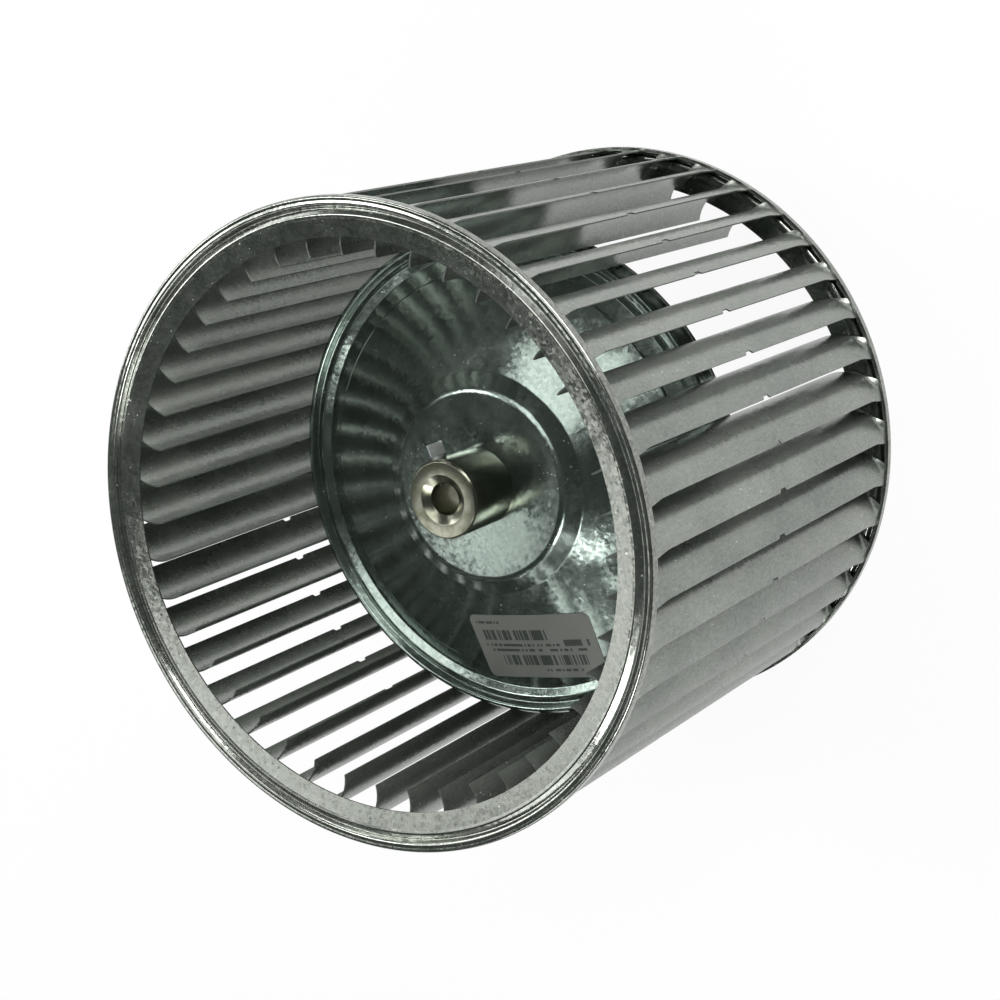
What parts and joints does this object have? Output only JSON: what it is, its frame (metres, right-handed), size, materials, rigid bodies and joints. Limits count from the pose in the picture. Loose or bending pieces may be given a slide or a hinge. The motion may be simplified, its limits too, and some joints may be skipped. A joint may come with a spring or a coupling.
{
  "type": "blower wheel",
  "caption": "Single inlet blower wheel: forward curved sheet blades between two rolled end rings, with a dished centre disc, a bored hub and a square head set screw.",
  "frame": {"origin": "on the wheel's axis, at the outer plane of the rear ring, which the wheel stands on", "axes": "+Z along the wheel's axis and shaft bore, towards the front ring, the hub's free end and the air inlet; +X to the right and +Y up as seen from the front with the set screw at the top"},
  "size_m": [0.2413, 0.2412, 0.2005],
  "materials": {
    "blade_steel": "galvanised sheet, satin with fine spangle",
    "ring_steel": "galvanised sheet, rolled and mottled",
    "disc_steel": "galvanised sheet, glossy with speckles",
    "yellow_zinc": "turned steel with pale yellow passivated zinc",
    "screw_steel": "zinc plated, bright",
    "label_paper": "coated paper with plain grey bars"
  },
  "bodies": {
    "wheel": {"blade_strip": "blade_steel", "front_ring": "ring_steel", "rear_ring": "ring_steel", "centre_disc": "disc_steel", "hub": "yellow_zinc", "label": "label_paper"},
    "screw": {"set_screw": "screw_steel"}
  },
  "joints": [
    {"name": "screw_travel", "type": "slide", "parent": "wheel", "child": "screw", "axis": [-0.2756, 0.9613, 0], "range_m": [-0.0007, 0.006]}
  ]
}
